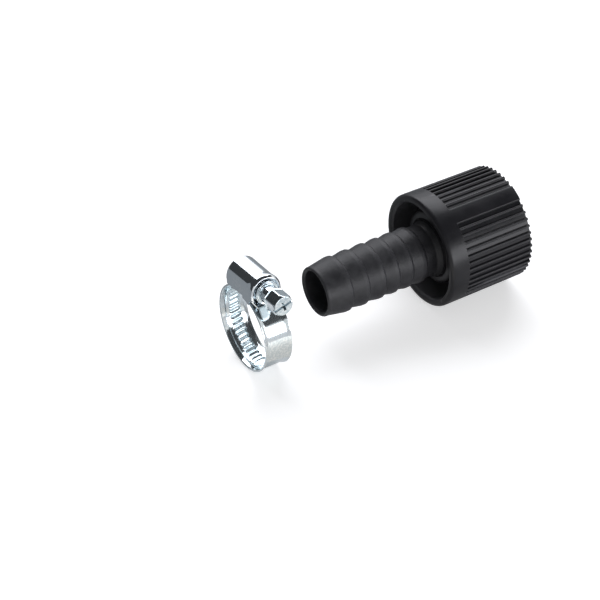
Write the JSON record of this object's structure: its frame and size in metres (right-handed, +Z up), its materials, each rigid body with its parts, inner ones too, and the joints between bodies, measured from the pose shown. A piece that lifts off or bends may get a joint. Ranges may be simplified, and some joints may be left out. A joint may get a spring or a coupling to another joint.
{
  "type": "suction hose connector",
  "caption": "Union nut with internal pipe thread that draws a ribbed hose tail down on a washer, with a worm drive clip for the hose.",
  "frame": {"origin": "middle of the union nut's open thread mouth, on the axis of nut and tail", "axes": "+Y out of the thread mouth, the hose tail points to -Y, +Z up with the clip's screw on top, +X to the side of the clip's screw head"},
  "size_m": [0.0418, 0.1064, 0.0418],
  "materials": {
    "nut_plastic": "satin black moulded plastic",
    "tail_plastic": "matt charcoal moulded plastic",
    "washer_rubber": "soft black rubber",
    "band_steel": "bright zinc plated strip",
    "housing_steel": "bright zinc plated pressing",
    "screw_steel": "bright zinc plated screw"
  },
  "bodies": {
    "nut": {"union_nut": "nut_plastic"},
    "washer": {"sealing_washer": "washer_rubber"},
    "tail": {"hose_tail": "tail_plastic"},
    "clip": {"clip_band": "band_steel", "clip_housing": "housing_steel"},
    "screw": {"clip_screw": "screw_steel"}
  },
  "joints": [
    {"name": "tail_draw", "type": "slide", "parent": "nut", "child": "washer", "axis": [0, 1, 0], "range_m": [0, 0.013]},
    {"name": "nut_swivel", "type": "hinge", "parent": "washer", "child": "tail", "pos_m": [0, -0.0162, 0], "axis": [0, 1, 0], "continuous": true},
    {"name": "clip_slide", "type": "slide", "parent": "nut", "child": "clip", "axis": [0.0309, 0.9924, 0.119], "range_m": [0, 0.0437]},
    {"name": "clip_screw", "type": "hinge", "parent": "clip", "child": "screw", "pos_m": [-0.00407, -0.10035, 0.01278], "axis": [-0.9888, 0, -0.1495], "range_deg": [0, 4690]}
  ]
}
